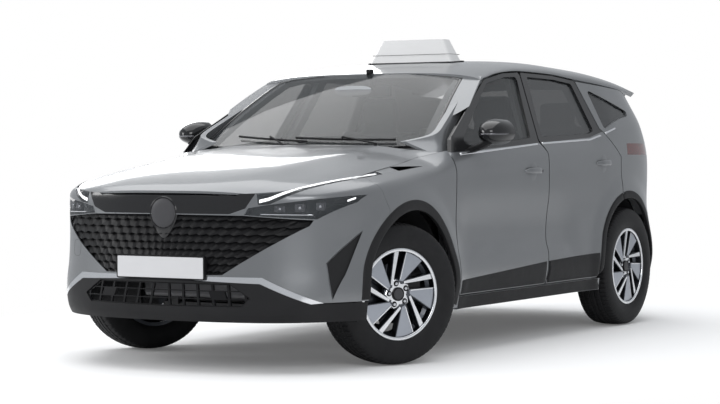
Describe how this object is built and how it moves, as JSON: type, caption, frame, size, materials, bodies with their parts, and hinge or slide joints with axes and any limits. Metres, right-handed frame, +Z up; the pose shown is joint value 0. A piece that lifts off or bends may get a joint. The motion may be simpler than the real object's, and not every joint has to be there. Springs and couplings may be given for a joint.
{
  "type": "taxi cab",
  "caption": "Five-door crossover taxi cab with a lit roof sign, opening doors, hood and tailgate, steered front wheels and free-turning wheels",
  "frame": {"origin": "on the ground under the middle of the body", "axes": "+X to the car's left, -Y to the front, +Z up"},
  "size_m": [2.1006, 4.4235, 1.7053],
  "materials": {
    "body_paint": "metallic silver grey, clear coat",
    "clear_glass": "clear, slightly green",
    "dark_glass": "tinted",
    "lamp_lens": "clear moulded lens",
    "tail_lens": "dark red lens",
    "bright_trim": "satin bright",
    "gloss_black": "gloss black",
    "black_trim": "grained",
    "tyre_rubber": "matt rubber",
    "wheel_alloy": "painted and machined",
    "engine_metal": "cast",
    "exhaust_steel": "dull",
    "chassis_steel": "black, semi-matt",
    "floor_paint": "primed grey",
    "cabin_plastic": "grained",
    "seat_fabric": "woven",
    "sign_plastic": "translucent white"
  },
  "bodies": {
    "car_body": {"roof_panel": "body_paint", "windscreen": "clear_glass", "side_frame_left": "body_paint", "side_frame_right": "body_paint", "cowl_panel": "black_trim", "front_fender_left": "body_paint", "front_fender_right": "body_paint", "front_bumper": "body_paint", "front_valance": "black_trim", "bumper_strip": "bright_trim", "nose_band": "gloss_black", "grille": "gloss_black", "headlamps": "lamp_lens", "quarter_panel_left": "body_paint", "quarter_panel_right": "body_paint", "quarter_glasses": "dark_glass", "tail_lamps": "tail_lens", "rear_bumper": "body_paint", "floor_pan": "floor_paint", "wheel_liners": "black_trim", "front_structure": "floor_paint", "engine_block": "engine_metal", "front_subframe": "chassis_steel", "rear_axle_beam": "chassis_steel", "exhaust": "exhaust_steel", "dashboard": "cabin_plastic", "front_seats": "seat_fabric", "rear_seat": "seat_fabric", "taxi_sign": "sign_plastic", "wipers": "black_trim", "interior_mirror": "black_trim"},
    "hood": {"hood": "body_paint"},
    "tailgate": {"tailgate": "body_paint", "tailgate_glass": "dark_glass", "tailgate_lamps": "tail_lens"},
    "front_door_left": {"front_door_left": "body_paint", "front_door_glass_left": "clear_glass", "door_mirror_left": "gloss_black"},
    "front_door_right": {"front_door_right": "body_paint", "front_door_glass_right": "clear_glass", "door_mirror_right": "gloss_black"},
    "rear_door_left": {"rear_door_left": "body_paint", "rear_door_glass_left": "dark_glass"},
    "rear_door_right": {"rear_door_right": "body_paint", "rear_door_glass_right": "dark_glass"},
    "knuckle_left": {"knuckle_left": "chassis_steel"},
    "knuckle_right": {"knuckle_right": "chassis_steel"},
    "wheel_front_left": {"tyre_front_left": "tyre_rubber", "rim_front_left": "wheel_alloy"},
    "wheel_front_right": {"tyre_front_right": "tyre_rubber", "rim_front_right": "wheel_alloy"},
    "wheel_rear_left": {"tyre_rear_left": "tyre_rubber", "rim_rear_left": "wheel_alloy"},
    "wheel_rear_right": {"tyre_rear_right": "tyre_rubber", "rim_rear_right": "wheel_alloy"},
    "steering_wheel": {"steering_wheel": "cabin_plastic"}
  },
  "joints": [
    {"name": "front_door_left_hinge", "type": "hinge", "parent": "car_body", "child": "front_door_left", "pos_m": [0.89784, -0.78599, 0.6], "axis": [0, 0, -1], "range_deg": [0, 70]},
    {"name": "rear_door_left_hinge", "type": "hinge", "parent": "car_body", "child": "rear_door_left", "pos_m": [0.89197, 0.26897, 0.6], "axis": [0, 0, -1], "range_deg": [0, 75]},
    {"name": "front_door_right_hinge", "type": "hinge", "parent": "car_body", "child": "front_door_right", "pos_m": [-0.89784, -0.78599, 0.6], "axis": [0, 0, 1], "range_deg": [0, 70]},
    {"name": "rear_door_right_hinge", "type": "hinge", "parent": "car_body", "child": "rear_door_right", "pos_m": [-0.89197, 0.26897, 0.6], "axis": [0, 0, 1], "range_deg": [0, 75]},
    {"name": "hood_hinge", "type": "hinge", "parent": "car_body", "child": "hood", "pos_m": [0, -0.81, 1.1], "axis": [-1, 0, 0], "range_deg": [0, 50]},
    {"name": "tailgate_hinge", "type": "hinge", "parent": "car_body", "child": "tailgate", "pos_m": [0, 1.67695, 1.51385], "axis": [1, 0, 0], "range_deg": [0, 80]},
    {"name": "steer_left", "type": "hinge", "parent": "car_body", "child": "knuckle_left", "pos_m": [0.715, -1.2975, 0.20702], "axis": [-0.2079, 0, 0.9781], "range_deg": [-11, 61]},
    {"name": "wheel_front_left_spin", "type": "hinge", "parent": "knuckle_left", "child": "wheel_front_left", "pos_m": [0.78269, -1.34276, 0.35544], "axis": [0.9104, -0.4134, -0.0191], "continuous": true},
    {"name": "wheel_rear_left_spin", "type": "hinge", "parent": "car_body", "child": "wheel_rear_left", "pos_m": [0.7925, 1.3675, 0.3555], "axis": [1, 0, 0], "continuous": true},
    {"name": "steer_right", "type": "hinge", "parent": "car_body", "child": "knuckle_right", "pos_m": [-0.715, -1.2975, 0.20702], "axis": [0.2079, 0, 0.9781], "range_deg": [-11, 61]},
    {"name": "wheel_front_right_spin", "type": "hinge", "parent": "knuckle_right", "child": "wheel_front_right", "pos_m": [-0.78269, -1.25224, 0.35544], "axis": [0.9104, -0.4134, 0.0191], "continuous": true},
    {"name": "wheel_rear_right_spin", "type": "hinge", "parent": "car_body", "child": "wheel_rear_right", "pos_m": [-0.7925, 1.3675, 0.3555], "axis": [1, 0, 0], "continuous": true},
    {"name": "steering_wheel_turn", "type": "hinge", "parent": "car_body", "child": "steering_wheel", "pos_m": [0.39003, -0.30001, 0.96004], "axis": [0, 0.9135, 0.4067], "range_deg": [-154, 854]}
  ],
  "couplings": [
    {"joint": "steer_right", "follows": "steer_left", "ratio": 1},
    {"joint": "steering_wheel_turn", "follows": "steer_left", "ratio": 14}
  ]
}
